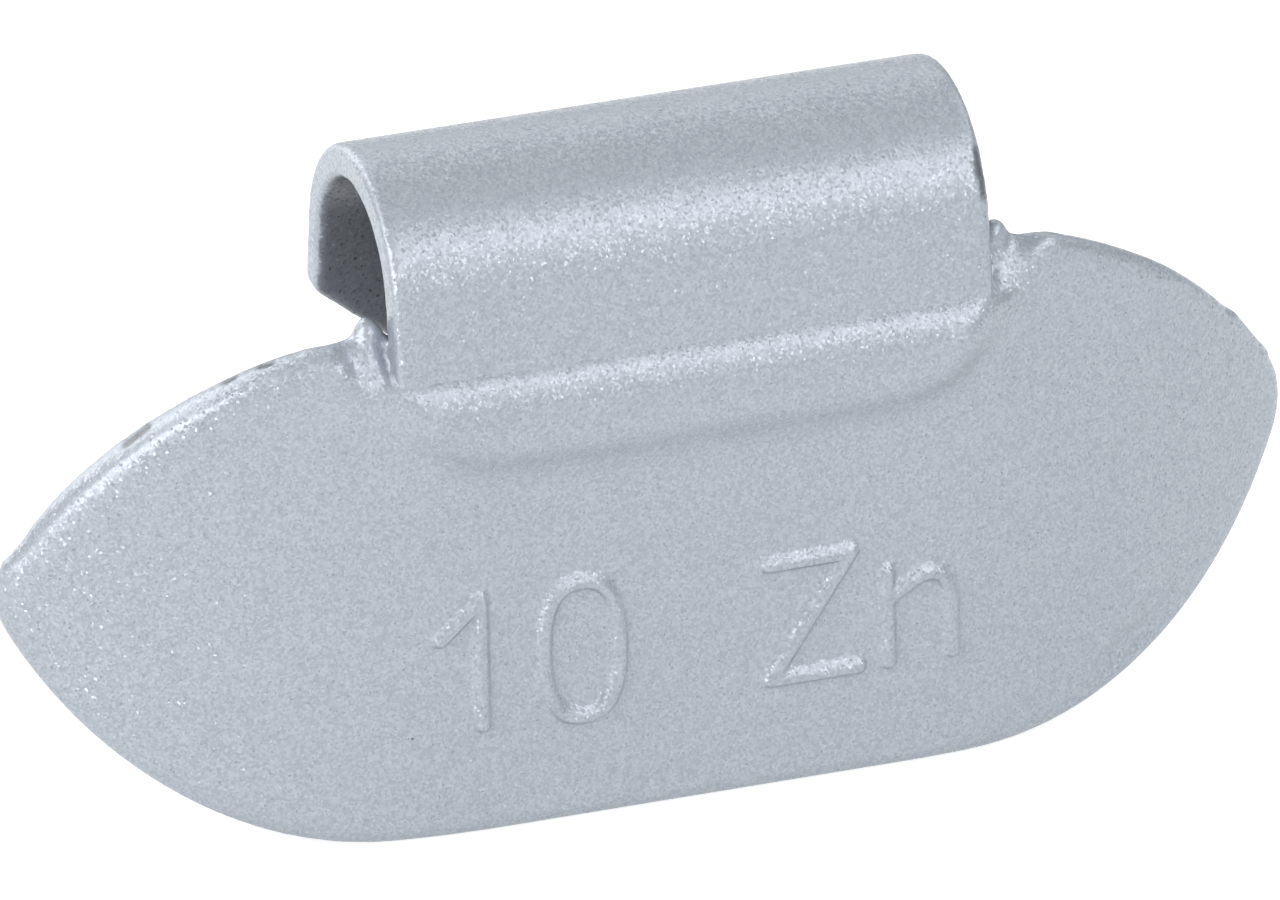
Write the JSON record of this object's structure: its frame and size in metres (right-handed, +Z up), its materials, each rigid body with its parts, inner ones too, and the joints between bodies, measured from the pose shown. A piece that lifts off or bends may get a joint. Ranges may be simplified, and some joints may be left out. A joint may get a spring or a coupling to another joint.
{
  "type": "wheel balance weight",
  "caption": "Boat-shaped die-cast balance weight with a bent steel clip that hooks over the lip of a wheel rim's flange.",
  "frame": {"origin": "seat of the rim flange's lip: the centre of the clip's arch, at the middle of the clip's width", "axes": "+X along the weight, +Y from the visible front towards the tyre, +Z up towards the top of the clip's arch, which is outwards from the wheel's centre when it is fitted"},
  "size_m": [0.033, 0.0078, 0.0167],
  "materials": {
    "coated_zinc": "silver-grey metal-flake coat over die-cast zinc, satin",
    "coated_steel": "silver-grey metal-flake coat over spring steel, satin"
  },
  "bodies": {
    "root": {"zinc_body": "coated_zinc", "rim_clip": "coated_steel"}
  },
  "joints": []
}
